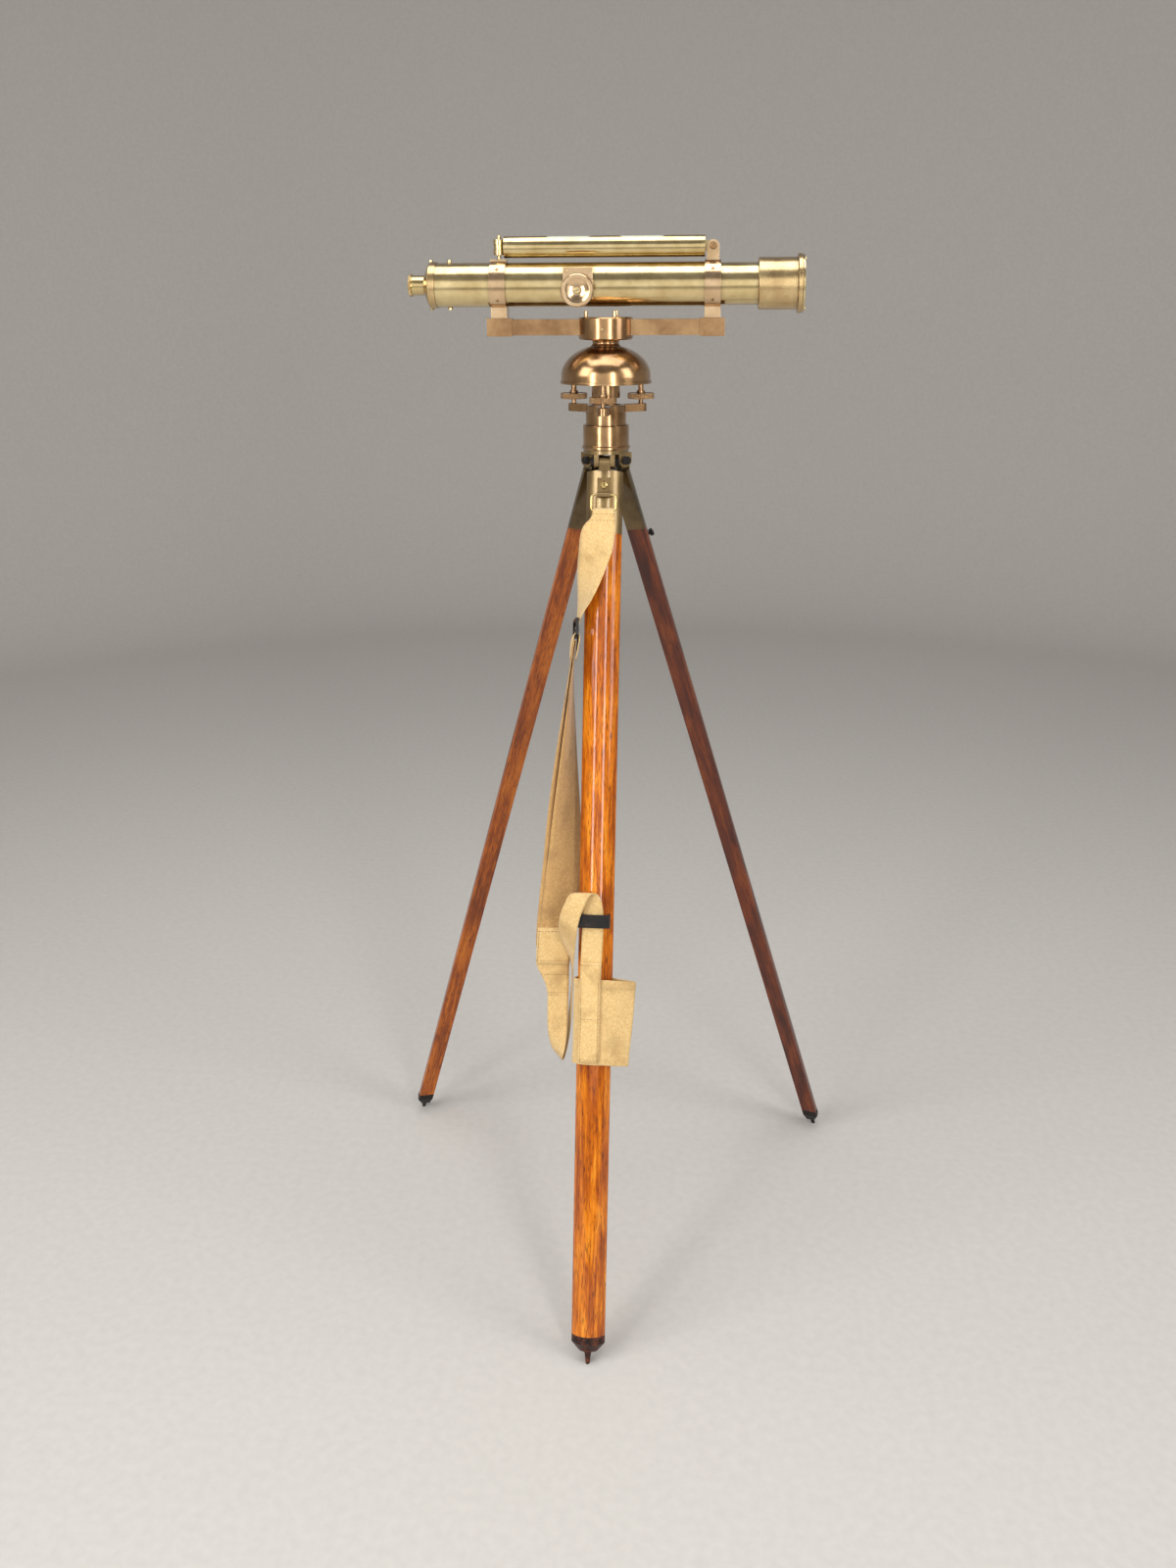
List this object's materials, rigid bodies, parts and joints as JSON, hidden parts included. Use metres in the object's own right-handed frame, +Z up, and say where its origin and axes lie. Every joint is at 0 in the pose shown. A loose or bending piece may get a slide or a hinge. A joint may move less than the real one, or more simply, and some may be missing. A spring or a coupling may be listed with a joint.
{
  "type": "surveyor's level on tripod",
  "caption": "Brass dumpy level with bubble tube, rack focusing and a bell-shaped levelling head on a folding wooden tripod with a canvas sling.",
  "frame": {"origin": "on the floor under the middle of the tripod head", "axes": "+Z up, +X along the line of sight towards the objective, the front leg along -Y"},
  "size_m": [0.6232, 0.5459, 1.3301],
  "materials": {
    "tube_brass": "polished, lacquered",
    "gunmetal": "polished red gunmetal",
    "cap_brass": "dull worn brass",
    "bright_brass": "bright brass",
    "black_iron": "japanned black",
    "mahogany": "gloss varnish",
    "canvas": "woven cotton webbing",
    "glass": "clear"
  },
  "bodies": {
    "tripod_head": {"tripod_head": "cap_brass", "hinge_bolts": "black_iron", "hinge_nuts": "black_iron", "head_socket": "cap_brass", "tribrach": "gunmetal"},
    "front_leg": {"front_leg": "mahogany", "front_leg_cap": "cap_brass", "front_leg_shoe": "black_iron", "strap_lug": "cap_brass", "strap_lug_screw": "bright_brass", "strap_loop": "bright_brass", "sling_upper": "canvas", "sling_lower": "canvas", "sling_tail": "canvas", "sling_buckle": "bright_brass", "buckle_tongue": "bright_brass", "keeper_band": "black_iron", "leg_sleeve": "canvas"},
    "left_leg": {"left_leg": "mahogany", "left_leg_cap": "cap_brass", "left_leg_shoe": "black_iron"},
    "right_leg": {"right_leg": "mahogany", "right_leg_cap": "cap_brass", "right_leg_shoe": "black_iron", "strap_stud": "black_iron"},
    "front_foot_screw": {"front_foot_screw": "gunmetal"},
    "left_foot_screw": {"left_foot_screw": "gunmetal"},
    "right_foot_screw": {"right_foot_screw": "gunmetal"},
    "levelling_dome": {"levelling_dome": "gunmetal"},
    "telescope": {"limb": "gunmetal", "vertical_spindle": "gunmetal", "spindle_retainer": "black_iron", "limb_screws": "gunmetal", "left_collar": "gunmetal", "right_collar": "gunmetal", "main_tube": "tube_brass", "eye_end_plate": "tube_brass", "reticle_ring": "gunmetal", "capstan_screws": "tube_brass", "pinion_box": "gunmetal", "bubble_stud": "tube_brass", "bubble_pivot": "gunmetal"},
    "objective_slide": {"draw_tube": "tube_brass", "focus_rack": "tube_brass", "objective_cell": "tube_brass", "objective_lens": "glass", "objective_ring": "tube_brass"},
    "dust_cap": {"dust_cap": "tube_brass"},
    "focus_knob": {"focus_knob": "tube_brass", "focus_pinion": "tube_brass"},
    "eyepiece": {"eyepiece_barrel": "tube_brass", "eyepiece_lenses": "glass"},
    "bubble": {"bubble_case": "tube_brass", "bubble_vial": "glass", "bubble_end_plugs": "tube_brass", "capstan_nuts": "tube_brass"}
  },
  "joints": [
    {"name": "front_leg_fold", "type": "hinge", "parent": "tripod_head", "child": "front_leg", "pos_m": [0, -0.021, 1.04866], "axis": [-1, 0, 0], "range_deg": [-18, 8], "deforming": ["sling_upper", "sling_lower", "sling_tail", "leg_sleeve", "sling_buckle", "buckle_tongue"]},
    {"name": "left_leg_fold", "type": "hinge", "parent": "tripod_head", "child": "left_leg", "pos_m": [-0.01819, 0.0105, 1.04866], "axis": [0.5, 0.866, 0], "range_deg": [-18, 8]},
    {"name": "right_leg_fold", "type": "hinge", "parent": "tripod_head", "child": "right_leg", "pos_m": [0.01819, 0.0105, 1.04866], "axis": [0.5, -0.866, 0], "range_deg": [-18, 8]},
    {"name": "front_screw_turn", "type": "hinge", "parent": "tripod_head", "child": "front_foot_screw", "pos_m": [0, -0.05, 1.11566], "axis": [0, 0, 1], "range_deg": [-700, 700]},
    {"name": "levelling_tilt", "type": "hinge", "parent": "tripod_head", "child": "levelling_dome", "pos_m": [0, 0.025, 1.11566], "axis": [1, 0, 0], "range_deg": [-1.5, 1.5]},
    {"name": "left_screw_turn", "type": "hinge", "parent": "levelling_dome", "child": "left_foot_screw", "pos_m": [-0.0433, 0.025, 1.11566], "axis": [0, 0, 1], "continuous": true},
    {"name": "right_screw_turn", "type": "hinge", "parent": "levelling_dome", "child": "right_foot_screw", "pos_m": [0.0433, 0.025, 1.11566], "axis": [0, 0, 1], "continuous": true},
    {"name": "traverse", "type": "hinge", "parent": "levelling_dome", "child": "telescope", "pos_m": [0, 0, 1.18816], "axis": [0, 0, 1], "continuous": true},
    {"name": "focus_slide", "type": "slide", "parent": "telescope", "child": "objective_slide", "axis": [1, 0, 0], "range_m": [-0.038, 0.02]},
    {"name": "focus_knob_turn", "type": "hinge", "parent": "telescope", "child": "focus_knob", "pos_m": [-0.032, -0.038, 1.26256], "axis": [0, 1, 0], "range_deg": [-370, 200]},
    {"name": "dust_cap_slide", "type": "slide", "parent": "objective_slide", "child": "dust_cap", "axis": [1, 0, 0], "range_m": [0, 0.008]},
    {"name": "eyepiece_slide", "type": "slide", "parent": "telescope", "child": "eyepiece", "axis": [1, 0, 0], "range_m": [-0.006, 0.006]},
    {"name": "bubble_tilt", "type": "hinge", "parent": "telescope", "child": "bubble", "pos_m": [0.134, 0, 1.31556], "axis": [0, 1, 0], "range_deg": [-0.28, 0.28]}
  ],
  "couplings": [
    {"joint": "levelling_tilt", "follows": "front_screw_turn", "ratio": 0.0021221},
    {"joint": "focus_knob_turn", "follows": "focus_slide", "rad_per_m": 166.67}
  ]
}
